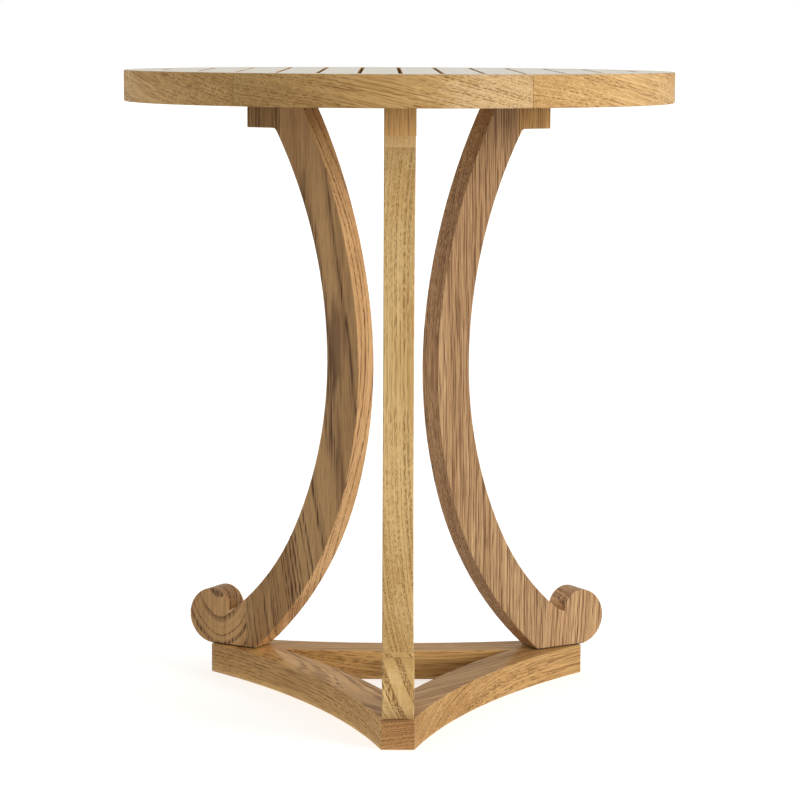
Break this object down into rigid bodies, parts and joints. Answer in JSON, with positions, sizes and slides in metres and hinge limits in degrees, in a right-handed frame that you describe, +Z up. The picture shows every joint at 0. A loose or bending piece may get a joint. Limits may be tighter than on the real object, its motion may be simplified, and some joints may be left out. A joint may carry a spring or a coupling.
{
  "type": "round slatted side table",
  "caption": "Round wooden side table: slatted top in a deep rim, on C-shaped legs with scrolled feet that stand on a bowed triangular base.",
  "frame": {"origin": "on the table's vertical axis at floor level", "axes": "+Z up, the slats run along Y, the front leg points to -Y and the other two to azimuths 30 and 150 degrees"},
  "size_m": [0.61, 0.61, 0.71],
  "materials": {
    "rim_oak": "natural oak, open grain, satin oil",
    "slat_oak": "natural oak, open grain, satin oil",
    "batten_oak": "natural oak, planed, unfinished",
    "leg_oak": "natural oak, open grain, satin oil",
    "scroll_oak": "natural oak, open grain, satin oil",
    "lip_oak": "natural oak, open grain, satin oil",
    "base_oak": "natural oak, open grain, satin oil",
    "spline_beech": "planed beech, unfinished",
    "dowel_beech": "turned beech, unfinished",
    "tenon_beech": "planed beech, unfinished",
    "bolt_steel": "zinc plated",
    "screw_steel": "zinc plated"
  },
  "bodies": {
    "root": {"base_rail_1": "base_oak", "base_rail_2": "base_oak", "base_rail_3": "base_oak", "batten_dowel_1": "dowel_beech", "batten_dowel_2": "dowel_beech", "batten_dowel_3": "dowel_beech", "batten_dowel_4": "dowel_beech", "batten_front": "batten_oak", "batten_rear": "batten_oak", "corner_tenon_front": "tenon_beech", "corner_tenon_left": "tenon_beech", "corner_tenon_right": "tenon_beech", "foot_bolt_front_inner": "bolt_steel", "foot_bolt_front_outer": "bolt_steel", "foot_bolt_left_inner": "bolt_steel", "foot_bolt_left_outer": "bolt_steel", "foot_bolt_right_inner": "bolt_steel", "foot_bolt_right_outer": "bolt_steel", "head_screw_front_inner": "screw_steel", "head_screw_front_outer": "screw_steel", "head_screw_left_inner": "screw_steel", "head_screw_left_outer": "screw_steel", "head_screw_right_inner": "screw_steel", "head_screw_right_outer": "screw_steel", "leg_front_lip": "lip_oak", "leg_front_scroll": "scroll_oak", "leg_front_stave": "leg_oak", "leg_left_lip": "lip_oak", "leg_left_scroll": "scroll_oak", "leg_left_stave": "leg_oak", "leg_right_lip": "lip_oak", "leg_right_scroll": "scroll_oak", "leg_right_stave": "leg_oak", "rim_segment_1": "rim_oak", "rim_segment_2": "rim_oak", "rim_segment_3": "rim_oak", "rim_segment_4": "rim_oak", "rim_segment_5": "rim_oak", "rim_segment_6": "rim_oak", "rim_spline_1": "spline_beech", "rim_spline_2": "spline_beech", "rim_spline_3": "spline_beech", "rim_spline_4": "spline_beech", "rim_spline_5": "spline_beech", "rim_spline_6": "spline_beech", "slat_01": "slat_oak", "slat_02": "slat_oak", "slat_03": "slat_oak", "slat_04": "slat_oak", "slat_05": "slat_oak", "slat_06": "slat_oak", "slat_07": "slat_oak", "slat_08": "slat_oak", "slat_09": "slat_oak", "slat_10": "slat_oak", "slat_11": "slat_oak", "slat_12": "slat_oak"}
  },
  "joints": []
}
